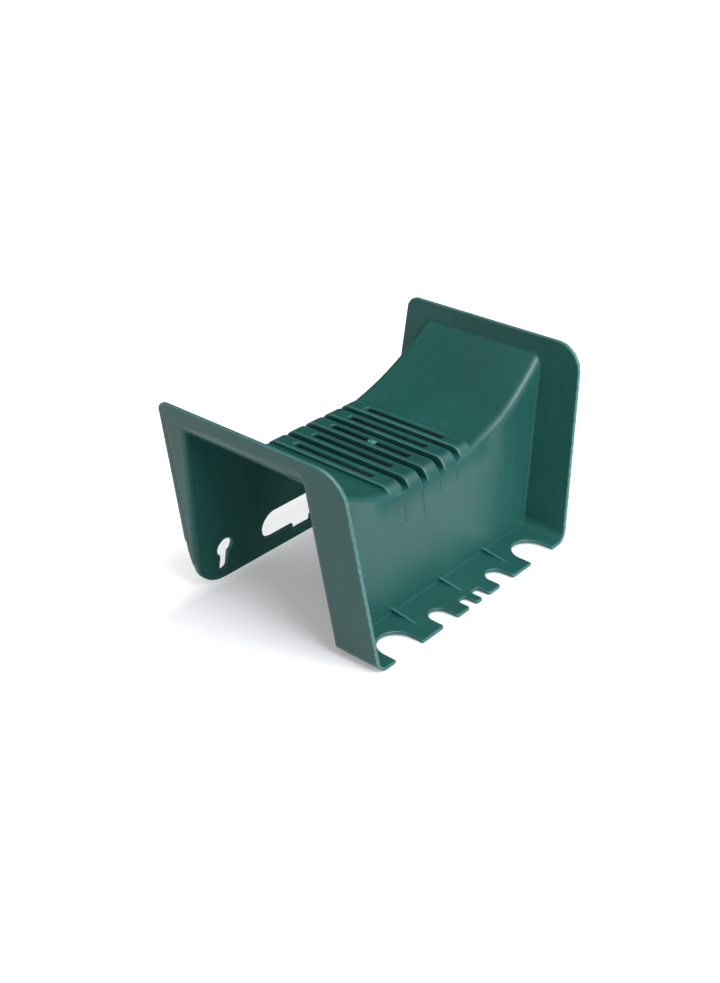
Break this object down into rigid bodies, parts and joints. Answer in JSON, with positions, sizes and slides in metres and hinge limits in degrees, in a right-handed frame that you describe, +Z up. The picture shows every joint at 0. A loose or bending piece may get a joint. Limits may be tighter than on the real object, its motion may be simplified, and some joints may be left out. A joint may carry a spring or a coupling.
{
  "type": "wall-mounted hose hanger",
  "caption": "Moulded wall hanger for a coiled garden hose: a dished, ribbed saddle between two tall flanges, with a notched shelf in front and keyhole fixings behind",
  "frame": {"origin": "middle of the footprint at floor level, in the pose in which the hanger stands on its shelf and on the foot of its back wall", "axes": "+X along the saddle from the left flange to the right flange, +Y towards the side that goes against the house wall, +Z up; the hanging pose is this pose turned by -4.26 degrees about X"},
  "size_m": [0.2662, 0.1722, 0.1578],
  "materials": {
    "moulded_plastic": "fine satin moulded surface, dark green",
    "gate_scar": "torn and slightly paler where the sprue was broken off"
  },
  "bodies": {
    "root": {"left_flange": "moulded_plastic", "right_flange": "moulded_plastic", "front_wall": "moulded_plastic", "back_wall": "moulded_plastic", "left_ramp": "moulded_plastic", "right_ramp": "moulded_plastic", "saddle_rib_1": "moulded_plastic", "saddle_rib_2": "moulded_plastic", "saddle_rib_3": "moulded_plastic", "saddle_rib_4": "moulded_plastic", "saddle_rib_5": "moulded_plastic", "groove_floor_1": "moulded_plastic", "groove_floor_2": "moulded_plastic", "groove_floor_3": "moulded_plastic", "groove_floor_4": "moulded_plastic", "accessory_shelf": "moulded_plastic", "left_gusset": "moulded_plastic", "middle_gusset": "moulded_plastic", "right_gusset": "moulded_plastic", "gate_vestige": "gate_scar"}
  },
  "joints": []
}
